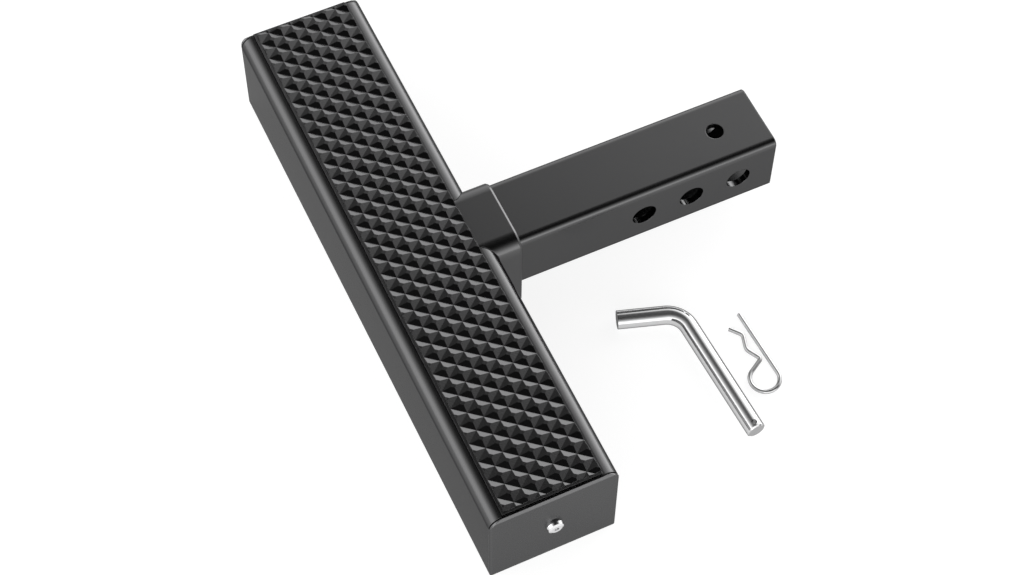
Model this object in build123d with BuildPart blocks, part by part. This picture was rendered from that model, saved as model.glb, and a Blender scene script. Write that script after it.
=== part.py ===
from build123d import *
import math
import os

os.makedirs("parts", exist_ok=True)

# Hitch receiver step, in millimetres
# +X along the bar, +Y along the shank towards the vehicle, +Z up
# The origin is the middle of the bar's bottom face, which lies on the floor

# Bar
bar_width = 87.0
bar_height = 70.6
bar_wall = 3.0
bar_half_length = 199.6
shoulder_radius = 9.0
heel_radius = 1.0
bar_side = bar_width / 2

# End caps
cap_plate = 1.5
cap_seam = 0.9
cap_seam_inset = 1.2
cap_bevel_depth = 1.2
cap_bevel_height = 2.0
cap_foot_chamfer = 0.4
cap_corner_radius = 1.6
plug_clearance = 0.3
plug_wall = 2.5
plug_depth = 10.0
boss_radius = 7.0
boss_sides = 8
plug_inset = bar_wall + plug_clearance
rim_inset = plug_inset + plug_wall
cap_seat = bar_half_length + cap_seam
cap_face = cap_seat + cap_plate
screw_height = bar_height / 2

# Cap screws, straps and weld nuts
screw_radius = 3.0
screw_hole_radius = 3.3
screw_length = 28.0
head_radius = 5.8
head_height = 3.6
head_rim = 1.0
head_flat_radius = 3.6
socket_across_flats = 3.0
socket_depth = 1.2
strap_width = 30.0
strap_thickness = 4.0
strap_inset = 12.0
strap_face = bar_half_length - strap_inset
nut_across_flats = 11.0
nut_height = 5.0
thread_clearance = 0.05

# Tread pad
tread_pitch_along = 13.48
tread_pitch_across = 8.12
tread_columns = 8
tread_shift = -0.77
tread_base = 2.3
tread_relief = 1.5
tread_flat_share = 0.25
tread_front_margin = 1.9
tread_end_margin = 1.6
tread_valley = bar_height + tread_base
tread_tip = tread_valley + tread_relief
tread_width = tread_columns * tread_pitch_across
tread_half_length = bar_half_length - tread_end_margin
pad_width = tread_width + tread_front_margin

# Shank
shank_size = 50.8
shank_wall = 4.76
shank_corner_radius = 5.0
shank_drop = 2.6
shank_length = 204.2
shank_bevel = 3.0
shank_end_chamfer = 0.6
pin_hole_radius = 8.7
pin_hole_pitch = 35.05
pin_hole_inset = 26.9
pin_hole_count = 3
top_hole_radius = 6.05
top_hole_inset = 33.5
shank_bore = shank_size - 2 * shank_wall
shank_top = bar_height - shank_drop
shank_bottom = shank_top - shank_size
shank_middle = shank_top - shank_size / 2
shank_end = bar_side + shank_length

# Collar
collar_side_wall = 3.3
collar_bottom = 1.0
collar_rise = 0.6
collar_depth = 16.5
collar_pad_gap = 0.4
collar_top_radius = 11.6
collar_bottom_radius = 3.0
collar_face_bevel = 1.4
collar_face_drop = 0.8
collar_wall = 3.0
collar_clearance = 0.3
lap_clearance = 0.2
collar_half_width = shank_size / 2 + collar_clearance + collar_side_wall
collar_top = bar_height + collar_rise
collar_face = bar_side + collar_depth
collar_lap_edge = tread_width / 2 + collar_pad_gap

# Hitch pin
pin_radius = 6.35
pin_bend_radius = 16.0
pin_corner = (84.9, 149.8)
pin_short_leg = 42.7
pin_short_angle = -108.2
pin_long_leg = 99.0
pin_long_angle = 2.2
pin_tip_chamfer = 0.8
clip_hole_radius = 1.8
clip_hole_inset = 3.8

# Spring clip
wire_radius = 1.45
wire_sides = 8
clip_loop_radius = 10.1
clip_loop_centre = (149.5, 179.0)
clip_leg_start = (98.9, 186.6)
clip_leg_knee = (131.5, 186.6)
clip_wave = [(135.0, 183.5), (126.2, 177.8), (113.9, 181.5), (106.1, 175.1)]
clip_bend_radius = 2.4
clip_knee_radius = 20.0


def bar_outline(inset):
    """The bar's cross-section, pulled in all round by the inset."""
    with BuildSketch() as outline:
        with Locations((0, bar_height / 2)):
            Rectangle(bar_width - 2 * inset, bar_height - 2 * inset)
        fillet(outline.vertices().sort_by(Axis.Y)[-2:], shoulder_radius - inset)
        fillet(outline.vertices().sort_by(Axis.Y)[:2], max(heel_radius - inset, 0.5))
    return outline.sketch


def point_from(start, angle, distance):
    """The point at a distance from the start, at an angle in degrees."""
    turn = math.radians(angle)
    return (start[0] + distance * math.cos(turn), start[1] + distance * math.sin(turn))


# The bar is one closed tube
with BuildPart() as bar_shell:
    with BuildSketch(Plane.YZ.offset(-bar_half_length)):
        add(bar_outline(0))
        add(bar_outline(bar_wall), mode=Mode.SUBTRACT)
    extrude(amount=2 * bar_half_length)

# Two crossing families of V grooves cut the tread's field into pyramids
half_along = tread_pitch_along / 2
groove_slant = math.hypot(half_along, tread_pitch_across)
groove_spacing = tread_pitch_along * tread_pitch_across / groove_slant
groove_depth = tread_tip - tread_valley
groove_half_width = groove_spacing * (1 - tread_flat_share) / 2
groove_overcut = 1.2
groove_reach = tread_width
groove_total = int(2 * tread_half_length / tread_pitch_along) + 8


def groove_cutter(across):
    """One V groove through the origin's valley, leaning towards the side given."""
    along_groove = Vector(half_along, across * tread_pitch_across, 0)
    beside_groove = Vector(-across * tread_pitch_across, half_along, 0)
    with BuildPart() as cutter:
        with BuildSketch(Plane(origin=(0, 0, tread_valley), x_dir=beside_groove, z_dir=along_groove)):
            half = groove_half_width * groove_overcut
            rise = groove_depth * groove_overcut
            Polygon((0, 0), (half, rise), (-half, rise), align=None)
        extrude(amount=groove_reach, both=True)
    return cutter.part


groove_starts = [
    (tread_shift + (step - groove_total // 2) * tread_pitch_along, 0, 0) for step in range(groove_total)
]
leaning_groove = groove_cutter(1)
crossing_groove = groove_cutter(-1)

# The pad is the field of pyramids on a base with a plain margin at its front and ends
with BuildPart() as tread_pad:
    with Locations((0, 0, (tread_valley + tread_tip) / 2)):
        Box(2 * tread_half_length, tread_width, tread_relief)
    with Locations(*groove_starts):
        add(leaning_groove, mode=Mode.SUBTRACT)
    with Locations(*groove_starts):
        add(crossing_groove, mode=Mode.SUBTRACT)
    with Locations((0, -tread_front_margin / 2, (bar_height + tread_valley) / 2)):
        Box(2 * bar_half_length, pad_width, tread_base)

# Each end cap is a plate with a seam over its top, a plug rim and a boss for its screw
with BuildPart() as near_end_cap:
    with BuildSketch(Plane.YZ.offset(cap_seat)):
        add(bar_outline(0))
    extrude(amount=cap_plate)
    with BuildSketch(Plane.YZ.offset(bar_half_length)):
        add(bar_outline(cap_seam_inset))
        with Locations((0, heel_radius)):
            Rectangle(bar_width, bar_height - shoulder_radius - heel_radius, align=(Align.CENTER, Align.MIN))
    extrude(amount=cap_seam)
    with BuildSketch(Plane.XZ):
        Polygon(
            (strap_face, 0),
            (cap_face - cap_foot_chamfer, 0),
            (cap_face, cap_foot_chamfer),
            (cap_face, bar_height - cap_bevel_height),
            (cap_face - cap_bevel_depth, bar_height),
            (strap_face, bar_height),
            align=None,
        )
    extrude(amount=bar_side, both=True, mode=Mode.INTERSECT)
    with BuildSketch(Plane.XY) as cap_plan:
        with Locations((strap_face, 0)):
            Rectangle(cap_face - strap_face, bar_width, align=(Align.MIN, Align.CENTER))
        fillet(cap_plan.vertices().sort_by(Axis.X)[-2:], cap_corner_radius)
    extrude(amount=bar_height, mode=Mode.INTERSECT)
    with BuildSketch(Plane.YZ.offset(bar_half_length)):
        add(bar_outline(plug_inset))
        with Locations((0, bar_height / 2)):
            Rectangle(bar_width - 2 * rim_inset, bar_height - 2 * rim_inset, mode=Mode.SUBTRACT)
    extrude(amount=-plug_depth)
    with BuildSketch(Plane.YZ.offset(bar_half_length)):
        with Locations((0, screw_height)):
            RegularPolygon(boss_radius, boss_sides)
    extrude(amount=strap_face - bar_half_length)
    with BuildSketch(Plane.YZ.offset(cap_face)):
        with Locations((0, screw_height)):
            Circle(screw_hole_radius)
    extrude(amount=strap_face - cap_face, mode=Mode.SUBTRACT)

with BuildPart() as far_end_cap:
    mirror(near_end_cap.part, about=Plane.YZ)

# Each screw's domed head with its hexagon socket stands on its cap
dome_point = (
    head_rim + (head_height - head_rim) * math.sin(math.radians(45)),
    head_flat_radius + (head_radius - head_flat_radius) * math.cos(math.radians(45)),
)

with BuildPart() as near_cap_screw:
    with BuildSketch(Plane(origin=(cap_face, 0, screw_height), x_dir=(1, 0, 0), z_dir=(0, -1, 0))):
        Polygon(
            (0, 0),
            (head_height, 0),
            (head_height, head_flat_radius),
            dome_point,
            (head_rim, head_radius),
            (0, head_radius),
            align=None,
        )
    revolve(axis=Axis((cap_face, 0, screw_height), (1, 0, 0)))
    with BuildSketch(Plane.YZ.offset(cap_face + head_height)):
        with Locations((0, screw_height)):
            RegularPolygon(socket_across_flats / 2, 6, major_radius=False)
    extrude(amount=-socket_depth, mode=Mode.SUBTRACT)
    with BuildSketch(Plane.YZ.offset(cap_face)):
        with Locations((0, screw_height)):
            Circle(screw_radius)
    extrude(amount=-screw_length)

with BuildPart() as far_cap_screw:
    mirror(near_cap_screw.part, about=Plane.YZ)

# A strap across the inside of each end carries a weld nut
with BuildPart() as near_strap:
    with Locations((strap_face - strap_thickness / 2, 0, screw_height)):
        Box(strap_thickness, strap_width, bar_height - 2 * bar_wall)
    with BuildSketch(Plane.YZ.offset(strap_face)):
        with Locations((0, screw_height)):
            Circle(screw_hole_radius)
    extrude(amount=-strap_thickness, mode=Mode.SUBTRACT)

with BuildPart() as far_strap:
    mirror(near_strap.part, about=Plane.YZ)

with BuildPart() as near_weld_nut:
    with BuildSketch(Plane.YZ.offset(strap_face - strap_thickness)):
        with Locations((0, screw_height)):
            RegularPolygon(nut_across_flats / 2, 6, major_radius=False)
            Circle(screw_radius + thread_clearance, mode=Mode.SUBTRACT)
    extrude(amount=-nut_height)

with BuildPart() as far_weld_nut:
    mirror(near_weld_nut.part, about=Plane.YZ)

# The shank's bevelled end stands against the bar's back wall
shank_plane = Plane(origin=(0, bar_side, shank_middle), x_dir=(-1, 0, 0), z_dir=(0, 1, 0))

with BuildPart() as shank:
    with BuildSketch(shank_plane):
        RectangleRounded(shank_size, shank_size, shank_corner_radius)
    extrude(amount=shank_end - bar_side)
    chamfer(shank.faces().sort_by(Axis.Y)[0].edges(), shank_bevel)
    chamfer(shank.faces().sort_by(Axis.Y)[-1].edges(), shank_end_chamfer)
    with BuildSketch(shank_plane):
        Rectangle(shank_bore, shank_bore)
    extrude(amount=shank_end - bar_side, mode=Mode.SUBTRACT)
    with BuildSketch(Plane.YZ.offset(-shank_size)):
        with Locations((shank_end - pin_hole_inset, shank_middle)):
            with Locations(*[(-step * pin_hole_pitch, 0) for step in range(pin_hole_count)]):
                Circle(pin_hole_radius)
    extrude(amount=2 * shank_size, mode=Mode.SUBTRACT)
    with BuildSketch(Plane.XY.offset(shank_middle)):
        with Locations((0, shank_end - top_hole_inset)):
            Circle(top_hole_radius)
    extrude(amount=shank_size, mode=Mode.SUBTRACT)

# The weld fills the bevel, and the wedge above the bar's round shoulder
with BuildPart() as shank_weld:
    with BuildSketch(shank_plane.offset(-shoulder_radius)):
        RectangleRounded(shank_size, shank_size, shank_corner_radius)
        Rectangle(shank_bore, shank_bore, mode=Mode.SUBTRACT)
    extrude(amount=shoulder_radius + shank_bevel)
    add(shank.part, mode=Mode.SUBTRACT)
    with BuildSketch(Plane.YZ.offset(-shank_size)):
        add(bar_outline(0))
    extrude(amount=2 * shank_size, mode=Mode.SUBTRACT)

# The collar is a hollow sleeve round the joint, and laps over the shoulder to the tread
with BuildPart() as collar:
    with BuildSketch(Plane(origin=(0, collar_lap_edge, 0), x_dir=(-1, 0, 0), z_dir=(0, 1, 0))) as collar_outline:
        with Locations((0, (collar_bottom + collar_top) / 2)):
            Rectangle(2 * collar_half_width, collar_top - collar_bottom)
        fillet(collar_outline.vertices().sort_by(Axis.Y)[-2:], collar_top_radius)
        fillet(collar_outline.vertices().sort_by(Axis.Y)[:2], collar_bottom_radius)
    extrude(amount=collar_face - collar_lap_edge)
    collar_front = collar.faces().sort_by(Axis.Y)[-1]
    chamfer(collar_front.edges(), length=collar_face_drop, length2=collar_face_bevel, reference=collar_front)
    with BuildSketch(Plane.YZ.offset(-2 * collar_half_width)):
        with Locations((0, lap_clearance)):
            add(bar_outline(0))
        with Locations((bar_side, 0)):
            Rectangle(bar_width, bar_height, align=(Align.MAX, Align.CENTER))
    extrude(amount=4 * collar_half_width, mode=Mode.SUBTRACT)
    with BuildSketch(Plane(origin=(0, collar_lap_edge, 0), x_dir=(-1, 0, 0), z_dir=(0, 1, 0))):
        with Locations((0, shank_middle - collar_clearance / 2)):
            RectangleRounded(
                shank_size + 2 * collar_clearance,
                shank_size + collar_clearance,
                shank_corner_radius,
            )
    extrude(amount=collar_face, mode=Mode.SUBTRACT)
    with BuildSketch(Plane.YZ.offset(-shank_size / 2 - collar_clearance)):
        with Locations((bar_side, collar_bottom + collar_wall)):
            Rectangle(
                collar_face - collar_wall - bar_side,
                shank_bottom - collar_bottom - collar_wall,
                align=(Align.MIN, Align.MIN),
            )
    extrude(amount=shank_size + 2 * collar_clearance, mode=Mode.SUBTRACT)

# The bent hitch pin lies on the floor beside the shank
pin_long_end = point_from(pin_corner, pin_long_angle, pin_long_leg)
pin_short_end = point_from(pin_corner, pin_short_angle, pin_short_leg)
pin_long_way = point_from((0, 0), pin_long_angle, 1.0)

with BuildPart() as hitch_pin:
    with BuildLine(Plane.XY.offset(pin_radius)) as pin_path:
        FilletPolyline(pin_long_end, pin_corner, pin_short_end, radius=pin_bend_radius)
    with BuildSketch(Plane(origin=(*pin_long_end, pin_radius), z_dir=(*pin_long_way, 0))):
        Circle(pin_radius)
    sweep(path=pin_path.wires()[0])
    chamfer(hitch_pin.faces().sort_by(Axis.X)[-1].edges(), pin_tip_chamfer)
    with BuildSketch(Plane.XY):
        with Locations(point_from(pin_long_end, pin_long_angle, -clip_hole_inset)):
            Circle(clip_hole_radius)
    extrude(amount=2 * pin_radius, mode=Mode.SUBTRACT)


def tangent_point(outside, side):
    """Where a line from the outside point touches the clip's loop."""
    gap_x = outside[0] - clip_loop_centre[0]
    gap_y = outside[1] - clip_loop_centre[1]
    reach = math.hypot(gap_x, gap_y)
    facing = math.degrees(math.atan2(gap_y, gap_x))
    swing = math.degrees(math.acos(clip_loop_radius / reach))
    return point_from(clip_loop_centre, facing + side * swing, clip_loop_radius)


# The spring clip lies flat beside the pin
loop_start = tangent_point(clip_leg_knee, -1)
loop_finish = tangent_point(clip_wave[0], 1)
loop_middle = point_from(clip_loop_centre, -25.0, clip_loop_radius)

with BuildPart() as spring_clip:
    with BuildLine(Plane.XY.offset(wire_radius)) as clip_path:
        FilletPolyline(clip_leg_start, clip_leg_knee, loop_start, radius=clip_knee_radius)
        ThreePointArc(loop_start, loop_middle, loop_finish)
        FilletPolyline(loop_finish, *clip_wave, radius=clip_bend_radius)
    with BuildSketch(Plane(origin=(*clip_leg_start, wire_radius), z_dir=(1, 0, 0))):
        RegularPolygon(wire_radius, wire_sides)
    sweep(path=clip_path.wires()[0])

bar_shell.part.label = "bar_shell"
tread_pad.part.label = "tread_pad"
near_end_cap.part.label = "near_end_cap"
far_end_cap.part.label = "far_end_cap"
near_cap_screw.part.label = "near_cap_screw"
far_cap_screw.part.label = "far_cap_screw"
near_strap.part.label = "near_strap"
far_strap.part.label = "far_strap"
near_weld_nut.part.label = "near_weld_nut"
far_weld_nut.part.label = "far_weld_nut"
shank.part.label = "shank"
shank_weld.part.label = "shank_weld"
collar.part.label = "collar"
hitch_pin.part.label = "hitch_pin"
spring_clip.part.label = "spring_clip"

export_step(bar_shell.part, "parts/bar_shell.step")
export_step(tread_pad.part, "parts/tread_pad.step")
export_step(near_end_cap.part, "parts/near_end_cap.step")
export_step(far_end_cap.part, "parts/far_end_cap.step")
export_step(near_cap_screw.part, "parts/near_cap_screw.step")
export_step(far_cap_screw.part, "parts/far_cap_screw.step")
export_step(near_strap.part, "parts/near_strap.step")
export_step(far_strap.part, "parts/far_strap.step")
export_step(near_weld_nut.part, "parts/near_weld_nut.step")
export_step(far_weld_nut.part, "parts/far_weld_nut.step")
export_step(shank.part, "parts/shank.step")
export_step(shank_weld.part, "parts/shank_weld.step")
export_step(collar.part, "parts/collar.step")
export_step(hitch_pin.part, "parts/hitch_pin.step")
export_step(spring_clip.part, "parts/spring_clip.step")
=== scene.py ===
import math

import bpy
from mathutils import Matrix, Vector


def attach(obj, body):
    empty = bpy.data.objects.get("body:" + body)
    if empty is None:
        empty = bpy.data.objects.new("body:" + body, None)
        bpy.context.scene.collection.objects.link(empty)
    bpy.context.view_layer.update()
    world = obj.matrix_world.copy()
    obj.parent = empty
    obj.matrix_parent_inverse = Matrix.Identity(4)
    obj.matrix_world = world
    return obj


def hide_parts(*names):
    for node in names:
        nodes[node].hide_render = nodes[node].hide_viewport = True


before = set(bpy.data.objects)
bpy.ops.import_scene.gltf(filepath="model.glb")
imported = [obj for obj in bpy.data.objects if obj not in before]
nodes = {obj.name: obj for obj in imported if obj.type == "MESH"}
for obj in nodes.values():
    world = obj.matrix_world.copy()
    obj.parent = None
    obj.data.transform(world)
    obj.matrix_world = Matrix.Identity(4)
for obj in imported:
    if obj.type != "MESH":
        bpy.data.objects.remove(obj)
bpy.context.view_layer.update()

# Camera, fitted to the photograph, with its lens in millimetres and its place in metres
lens_length = 84.30
sensor_width = 36.0
camera_place = (0.779197, -0.310540, 1.362363)
camera_right = (0.4244, 0.9055, 0.0077)
camera_up = (-0.7705, 0.3566, 0.5283)
nearest_seen = 0.05
farthest_seen = 50.0


def make_camera():
    data = bpy.data.cameras.new("photo_camera")
    data.sensor_width = sensor_width
    data.lens = lens_length
    data.clip_start = nearest_seen
    data.clip_end = farthest_seen
    camera = bpy.data.objects.new("photo_camera", data)
    bpy.context.scene.collection.objects.link(camera)
    right = Vector(camera_right).normalized()
    back = right.cross(Vector(camera_up)).normalized()
    up = back.cross(right).normalized()
    turn = Matrix((right, up, back)).transposed().to_4x4()
    camera.matrix_world = Matrix.Translation(camera_place) @ turn
    bpy.context.scene.camera = camera
    bpy.context.scene.view_settings.view_transform = "Standard"


# Helpers for node trees
def grey(level, blue_lift=0.0):
    """A grey colour, with its blue raised a little where that is given."""
    return (level, level, level + blue_lift, 1)


class Tree:
    def __init__(self, tree):
        self.tree = tree
        tree.nodes.clear()

    def add(self, kind, **settings):
        """A new node, with each setting put on the node itself or on the input of that name."""
        node = self.tree.nodes.new(kind)
        for key, value in settings.items():
            if hasattr(node, key):
                setattr(node, key, value)
            else:
                node.inputs[key.replace("_", " ")].default_value = value
        return node

    def link(self, source, target):
        self.tree.links.new(source, target)

    def ramp(self, factor, stops):
        """Grey levels along the factor, from pairs of a place and a level."""
        node = self.add("ShaderNodeValToRGB")
        elements = node.color_ramp.elements
        while len(elements) > 1:
            elements.remove(elements[-1])
        elements[0].position = stops[0][0]
        elements[0].color = grey(stops[0][1])
        for place, level in stops[1:]:
            elements.new(place).color = grey(level)
        self.link(factor, node.inputs["Fac"])
        return node.outputs["Color"]

    def mix(self, blend, first, second):
        node = self.add("ShaderNodeMix", data_type="RGBA", blend_type=blend)
        node.inputs["Factor"].default_value = 1.0
        self.link(first, node.inputs["A"])
        self.link(second, node.inputs["B"])
        return node.outputs["Result"]

    def facing(self, vector, direction):
        """0 facing away from the direction, 1 facing it."""
        dot = self.add("ShaderNodeVectorMath", operation="DOT_PRODUCT")
        self.link(vector, dot.inputs[0])
        dot.inputs[1].default_value = direction
        half = self.add("ShaderNodeMath", operation="MULTIPLY_ADD")
        self.link(dot.outputs["Value"], half.inputs[0])
        half.inputs[1].default_value = 0.5
        half.inputs[2].default_value = 0.5
        return half.outputs[0]

    def output(self, kind, surface):
        self.link(surface, self.add(kind).inputs["Surface"])


# Light, as levels of the studio by how far a direction faces each side
window_side = (-0.5736, 0.8192, 0.0)
window_levels = [
    (0.396, 0.00),
    (0.500, 0.01),
    (0.604, 0.05),
    (0.671, 0.08),
    (0.704, 0.16),
    (0.735, 0.46),
    (0.750, 0.68),
    (0.780, 1.00),
    (0.844, 1.40),
    (0.872, 1.90),
    (0.942, 2.90),
    (0.983, 4.80),
]
screen_side = (0.0, 0.2425, 0.9701)
screen_levels = [
    (0.50, 2.20),
    (0.60, 2.40),
    (0.70, 1.80),
    (0.76, 1.05),
    (0.80, 0.80),
    (0.85, 0.40),
    (0.88, 0.25),
    (0.93, 0.05),
    (0.97, 0.01),
]
front_side = (0.507, -0.862, 0.0)
front_levels = [(0.34, 0.03), (0.42, 0.6), (0.50, 1.0)]


def make_world():
    """A big soft window behind the step, screens in front of it, and a dark ceiling."""
    world = bpy.data.worlds.new("studio")
    bpy.context.scene.world = world
    world.use_nodes = True
    tree = Tree(world.node_tree)
    place = tree.add("ShaderNodeTexCoord").outputs["Generated"]
    window = tree.ramp(tree.facing(place, window_side), window_levels)
    screens = tree.ramp(tree.facing(place, screen_side), screen_levels)
    front = tree.ramp(tree.facing(place, front_side), front_levels)
    kept = tree.mix("MULTIPLY", screens, front)
    level = tree.mix("LIGHTEN", window, kept)
    studio = tree.add("ShaderNodeBackground")
    tree.link(level, studio.inputs["Color"])
    tree.output("ShaderNodeOutputWorld", studio.outputs[0])


# Floor, white where it is lit and a little darker in the step's shadow
floor_half = 4.0
floor_level = -0.0002
floor_lit_share = 0.30
floor_glow = 0.84


def make_floor():
    mesh = bpy.data.meshes.new("floor")
    signs = [(-1, -1), (1, -1), (1, 1), (-1, 1)]
    corners = [(x * floor_half, y * floor_half, floor_level) for x, y in signs]
    mesh.from_pydata(corners, [], [(0, 1, 2, 3)])
    floor = bpy.data.objects.new("floor", mesh)
    bpy.context.scene.collection.objects.link(floor)
    material = bpy.data.materials.new("floor_paper")
    material.use_nodes = True
    tree = Tree(material.node_tree)
    lit = tree.add("ShaderNodeBsdfDiffuse", Color=grey(floor_lit_share))
    glow = tree.add("ShaderNodeEmission", Color=grey(1), Strength=floor_glow)
    both = tree.add("ShaderNodeAddShader")
    tree.link(lit.outputs[0], both.inputs[0])
    tree.link(glow.outputs[0], both.inputs[1])
    tree.output("ShaderNodeOutputMaterial", both.outputs[0])
    mesh.materials.append(material)


# Materials
tone_blue_lift = 0.01
coat_cloud_scale = 9.0
coat_tone_spread = 0.06
coat_gloss_spread = 0.12
coat_bump = 0.5
coat_bevel_samples = 6
plate_haze_scale = 120.0
plate_tone_drop = 0.04
plate_gloss_spread = 0.3
plate_scratch_scale = 900.0
plate_bump = 0.3


class Surface(Tree):
    """A material with one shader, whose changes follow the object's own place."""

    def __init__(self, name, metallic, edge_tint):
        self.material = bpy.data.materials.new(name)
        self.material.use_nodes = True
        super().__init__(self.material.node_tree)
        self.place = self.add("ShaderNodeTexCoord").outputs["Object"]
        self.shader = self.add("ShaderNodeBsdfPrincipled")
        self.shader.inputs["Metallic"].default_value = metallic
        self.shader.inputs["Specular Tint"].default_value = grey(edge_tint)
        self.output("ShaderNodeOutputMaterial", self.shader.outputs[0])

    def noise(self, **settings):
        node = self.add("ShaderNodeTexNoise", **settings)
        self.link(self.place, node.inputs["Vector"])
        return node.outputs["Fac"]

    def vary_tone(self, factor, first, second):
        tones = self.add("ShaderNodeMix", data_type="RGBA")
        tones.inputs["A"].default_value = first
        tones.inputs["B"].default_value = second
        self.link(factor, tones.inputs["Factor"])
        self.link(tones.outputs["Result"], self.shader.inputs["Base Color"])

    def vary_gloss(self, factor, rough, spread):
        gloss = self.add("ShaderNodeMapRange")
        gloss.inputs["To Min"].default_value = rough * (1 - spread)
        gloss.inputs["To Max"].default_value = rough * (1 + spread)
        self.link(factor, gloss.inputs["Value"])
        self.link(gloss.outputs["Result"], self.shader.inputs["Roughness"])

    def bump(self, height, strength, depth):
        """Fine relief, whose node is given back so that a normal can be linked under it."""
        node = self.add("ShaderNodeBump", Strength=strength)
        node.inputs["Distance"].default_value = depth
        self.link(height, node.inputs["Height"])
        self.link(node.outputs["Normal"], self.shader.inputs["Normal"])
        return node


def coated(name, tone, rough, grain_size, grain_depth=0.00002, edge_radius=0.0006, edge_tint=0.35):
    """A dark satin coat with fine grain, soft edges and slight changes of tone and gloss."""
    surface = Surface(name, 1.0, edge_tint)
    cloud = surface.noise(Scale=coat_cloud_scale, Detail=4.0, Roughness=0.6)
    grain = surface.noise(Scale=1.0 / grain_size, Detail=3.0, Roughness=0.65)
    darker = grey(tone * (1 - coat_tone_spread), tone * tone_blue_lift)
    lighter = grey(tone * (1 + coat_tone_spread), tone * tone_blue_lift)
    surface.vary_tone(cloud, darker, lighter)
    surface.vary_gloss(grain, rough, coat_gloss_spread)
    soften = surface.add("ShaderNodeBevel", samples=coat_bevel_samples)
    soften.inputs["Radius"].default_value = edge_radius
    bump = surface.bump(grain, coat_bump, grain_depth)
    surface.link(soften.outputs["Normal"], bump.inputs["Normal"])
    return surface.material


def plated(name, tone, rough, scratch_depth, edge_tint=1.0, haze_share=0.0):
    """Bright plate with faint scratches and, where it is dulled, a share of haze."""
    surface = Surface(name, 1.0 - haze_share, edge_tint)
    haze = surface.noise(Scale=plate_haze_scale, Detail=4.0, Roughness=0.6)
    scratch = surface.noise(Scale=plate_scratch_scale, Detail=2.0)
    surface.vary_tone(haze, grey(tone * (1 - plate_tone_drop), tone * tone_blue_lift), grey(tone))
    surface.vary_gloss(haze, rough, plate_gloss_spread)
    surface.bump(scratch, plate_bump, scratch_depth)
    return surface.material


# The clip's round wire, a straight leg, a loop and a waved leg, which lies on the floor
wire_radius = 0.0015
wire_roundness = 4
leg_start = Vector((0.0990, 0.1862))
loop_centre = Vector((0.1497, 0.1785))
loop_radius = 0.0098
wave = [
    Vector((0.1354, 0.1834)),
    Vector((0.1253, 0.1779)),
    Vector((0.1142, 0.1812)),
    Vector((0.1064, 0.1749)),
]
wave_bend = 0.0022


def touching_angle(outside, side):
    """The loop's angle where a line from the outside point touches it."""
    gap = outside - loop_centre
    return math.atan2(gap.y, gap.x) + side * math.acos(loop_radius / gap.length)


def on_loop(angle):
    return loop_centre + loop_radius * Vector((math.cos(angle), math.sin(angle)))


def bend(before, corner, after, steps=8):
    """Points on a soft curve that takes a corner of the wire."""
    start = corner + (before - corner).normalized() * wave_bend
    end = corner + (after - corner).normalized() * wave_bend
    points = []
    for step in range(steps + 1):
        share = step / steps
        points.append(start.lerp(corner, share).lerp(corner.lerp(end, share), share))
    return points


def clip_line(steps=60):
    """The middle of the wire, from the straight leg round the loop and along the waved leg."""
    first = touching_angle(leg_start, -1)
    last = touching_angle(wave[0], 1) - math.tau
    line = [leg_start]
    line += [on_loop(first + (last - first) * step / steps) for step in range(steps + 1)]
    corners = [on_loop(last), *wave]
    for before, corner, after in zip(corners, corners[1:], corners[2:]):
        line += bend(before, corner, after)
    line.append(wave[-1])
    return line


def make_clip(material):
    line = clip_line()
    curve = bpy.data.curves.new("spring_clip_wire", "CURVE")
    curve.dimensions = "3D"
    curve.bevel_depth = wire_radius
    curve.bevel_resolution = wire_roundness
    curve.use_fill_caps = True
    spline = curve.splines.new("POLY")
    spline.points.add(len(line) - 1)
    for point, place in zip(spline.points, line):
        point.co = (place.x, place.y, wire_radius, 1)
    curve.materials.append(material)
    clip = bpy.data.objects.new("spring_clip_wire", curve)
    bpy.context.scene.collection.objects.link(clip)
    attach(clip, "root")
    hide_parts("spring_clip")


def dress(material, *names):
    for name in names:
        for slot in nodes[name].material_slots:
            slot.material = material


make_camera()
make_world()
make_floor()

bar_coat = coated("bar_coat", tone=0.098, rough=0.24, grain_size=0.0011)
shank_coat = coated("shank_coat", tone=0.098, rough=0.22, grain_size=0.0009)
tread_mould = coated(
    "tread_mould", tone=0.093, rough=0.14, grain_size=0.0010, grain_depth=0.00005, edge_radius=0.0003
)
cap_mould = coated("cap_mould", tone=0.135, rough=0.28, grain_size=0.0008, edge_tint=0.38)
collar_mould = coated("collar_mould", tone=0.098, rough=0.22, grain_size=0.0008, edge_tint=0.5)
zinc_screw = plated("zinc_screw", tone=0.80, rough=0.18, scratch_depth=0.00001, edge_tint=0.6)
plain_steel = plated("plain_steel", tone=0.45, rough=0.38, scratch_depth=0.00002)
pin_chrome = plated(
    "pin_chrome", tone=0.62, rough=0.07, scratch_depth=0.000003, edge_tint=0.0, haze_share=0.14
)
clip_wire = plated(
    "clip_wire", tone=0.55, rough=0.08, scratch_depth=0.000003, edge_tint=0.0, haze_share=0.10
)

dress(bar_coat, "bar_shell")
dress(shank_coat, "shank", "shank_weld")
dress(cap_mould, "near_end_cap", "far_end_cap")
dress(zinc_screw, "near_cap_screw", "far_cap_screw")
dress(plain_steel, "near_strap", "far_strap", "near_weld_nut", "far_weld_nut")
dress(tread_mould, "tread_pad")
dress(collar_mould, "collar")
dress(pin_chrome, "hitch_pin")
make_clip(clip_wire)
